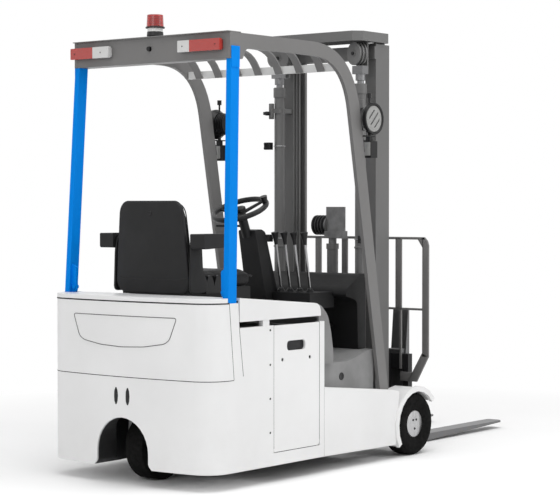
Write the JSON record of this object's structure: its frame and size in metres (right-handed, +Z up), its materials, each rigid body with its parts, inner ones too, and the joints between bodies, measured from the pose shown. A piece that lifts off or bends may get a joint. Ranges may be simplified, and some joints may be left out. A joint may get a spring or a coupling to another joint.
{
  "type": "counterbalance forklift",
  "caption": "Electric counterbalance forklift with a single steered rear wheel, telescopic mast, forks, overhead guard and driver's seat.",
  "frame": {"origin": "on the floor under the middle of the overall length and width", "axes": "+X towards the fork tips, +Y to the driver's left, +Z up"},
  "size_m": [3.003, 1.086, 2.255],
  "materials": {
    "white_paint": "satin enamel",
    "blue_paint": "gloss enamel",
    "grey_paint": "satin enamel",
    "grey_trim": "textured",
    "black_trim": "textured",
    "dark_casting": "painted casting",
    "seat_cover": "matte vinyl cloth",
    "black_paint": "satin enamel",
    "tyre": "cushion rubber",
    "hub": "satin",
    "chrome": "polished",
    "lamp_red": "moulded lens",
    "beacon_red": "translucent lens"
  },
  "bodies": {
    "chassis": {"counterweight": "white_paint", "tail_cover": "white_paint", "tail_deck": "white_paint", "side_beam_left": "white_paint", "side_beam_right": "white_paint", "battery": "dark_casting", "chassis_frame": "dark_casting", "floor_step": "grey_trim", "knee_panel": "grey_trim", "front_cowl": "black_trim", "steering_column": "black_trim", "control_levers": "black_trim", "pedals": "black_trim", "guard_post_left": "blue_paint", "guard_post_right": "blue_paint", "guard_rear_beam": "grey_paint", "guard_rail_left": "grey_paint", "guard_rail_right": "grey_paint", "guard_grille": "grey_paint", "beacon_base": "black_trim", "beacon_lens": "beacon_red", "rear_lamp_left": "lamp_red", "rear_lamp_right": "lamp_red", "work_lamp_left": "black_trim", "work_lamp_right": "black_trim"},
    "hood": {"hood": "white_paint", "seat_base": "black_trim", "seat_cushion": "seat_cover", "seat_back": "seat_cover", "armrest_left": "black_trim", "armrest_right": "black_trim"},
    "battery_door_left": {"battery_door_left": "white_paint"},
    "battery_door_right": {"battery_door_right": "white_paint"},
    "drive_unit": {"drive_bracket": "dark_casting", "drive_motor": "dark_casting"},
    "drive_wheel": {"drive_wheel": "tyre"},
    "front_wheel_left": {"front_tyre_left": "tyre", "front_hub_left": "hub"},
    "front_wheel_right": {"front_tyre_right": "tyre", "front_hub_right": "hub"},
    "steering_wheel": {"steering_wheel": "black_trim"},
    "mast_outer": {"outer_mast": "grey_paint", "lift_cylinder_left": "grey_paint", "lift_cylinder_right": "grey_paint"},
    "mast_middle": {"middle_mast": "grey_paint", "lift_crosshead": "grey_paint", "lift_rod_left": "chrome", "lift_rod_right": "chrome"},
    "mast_inner": {"inner_mast": "grey_paint", "free_lift_cylinder": "grey_paint"},
    "free_lift_head": {"free_lift_head": "dark_casting"},
    "carriage": {"carriage": "black_paint", "load_backrest": "grey_paint", "fork_left": "grey_paint", "fork_right": "grey_paint"},
    "tilt_barrel_left": {"tilt_barrel_left": "black_paint"},
    "tilt_barrel_right": {"tilt_barrel_right": "black_paint"},
    "tilt_rod_left": {"tilt_rod_left": "chrome"},
    "tilt_rod_right": {"tilt_rod_right": "chrome"}
  },
  "joints": [
    {"name": "steer", "type": "hinge", "parent": "chassis", "child": "drive_unit", "pos_m": [-1.2585, 0, 0.363], "axis": [0, 0, 1], "range_deg": [-90, 90]},
    {"name": "drive_roll", "type": "hinge", "parent": "drive_unit", "child": "drive_wheel", "pos_m": [-1.2585, 0, 0.165], "axis": [0, 1, 0], "continuous": true},
    {"name": "front_left_roll", "type": "hinge", "parent": "chassis", "child": "front_wheel_left", "pos_m": [0.2165, 0.474, 0.165], "axis": [0, 1, 0], "continuous": true},
    {"name": "front_right_roll", "type": "hinge", "parent": "chassis", "child": "front_wheel_right", "pos_m": [0.2165, -0.474, 0.165], "axis": [0, 1, 0], "continuous": true},
    {"name": "steering_turn", "type": "hinge", "parent": "chassis", "child": "steering_wheel", "pos_m": [-0.6155, 0, 1.309], "axis": [-0.3907, 0, 0.9205], "range_deg": [-900, 900]},
    {"name": "hood_open", "type": "hinge", "parent": "chassis", "child": "hood", "pos_m": [-0.6455, 0, 0.8], "axis": [0, 1, 0], "range_deg": [0, 35]},
    {"name": "door_left_open", "type": "hinge", "parent": "chassis", "child": "battery_door_left", "pos_m": [-1.0065, 0.535, 0.45], "axis": [0, 0, 1], "range_deg": [0, 110]},
    {"name": "door_right_open", "type": "hinge", "parent": "chassis", "child": "battery_door_right", "pos_m": [-1.0065, -0.535, 0.45], "axis": [0, 0, -1], "range_deg": [0, 110]},
    {"name": "mast_tilt", "type": "hinge", "parent": "chassis", "child": "mast_outer", "pos_m": [0.2165, 0, 0.165], "axis": [0, 1, 0], "range_deg": [-6, 3]},
    {"name": "mast_lift", "type": "slide", "parent": "mast_outer", "child": "mast_middle", "axis": [0, 0, 1], "range_m": [0, 1.5]},
    {"name": "inner_lift", "type": "slide", "parent": "mast_middle", "child": "mast_inner", "axis": [0, 0, 1], "range_m": [0, 1.5]},
    {"name": "carriage_lift", "type": "slide", "parent": "mast_inner", "child": "carriage", "axis": [0, 0, 1], "range_m": [0, 1.05]},
    {"name": "free_lift", "type": "slide", "parent": "mast_inner", "child": "free_lift_head", "axis": [0, 0, 1], "range_m": [0, 0.525]},
    {"name": "tilt_barrel_left_turn", "type": "hinge", "parent": "chassis", "child": "tilt_barrel_left", "pos_m": [-0.4035, 0.206, 0.33], "axis": [0, 1, 0], "range_deg": [-1, 1.5]},
    {"name": "tilt_rod_left_slide", "type": "slide", "parent": "tilt_barrel_left", "child": "tilt_rod_left", "axis": [0.9809, 0, 0.1946], "range_m": [-0.034, 0.018]},
    {"name": "tilt_barrel_right_turn", "type": "hinge", "parent": "chassis", "child": "tilt_barrel_right", "pos_m": [-0.4035, -0.206, 0.33], "axis": [0, 1, 0], "range_deg": [-1, 1.5]},
    {"name": "tilt_rod_right_slide", "type": "slide", "parent": "tilt_barrel_right", "child": "tilt_rod_right", "axis": [0.9809, 0, 0.1946], "range_m": [-0.034, 0.018]}
  ],
  "couplings": [
    {"joint": "steering_turn", "follows": "steer", "ratio": -10},
    {"joint": "inner_lift", "follows": "mast_lift", "ratio": 1},
    {"joint": "free_lift", "follows": "carriage_lift", "ratio": 0.5},
    {"joint": "tilt_barrel_left_turn", "follows": "mast_tilt", "ratio": -0.14},
    {"joint": "tilt_rod_left_slide", "follows": "mast_tilt", "m_per_rad": 0.28},
    {"joint": "tilt_barrel_right_turn", "follows": "mast_tilt", "ratio": -0.14},
    {"joint": "tilt_rod_right_slide", "follows": "mast_tilt", "m_per_rad": 0.28}
  ]
}
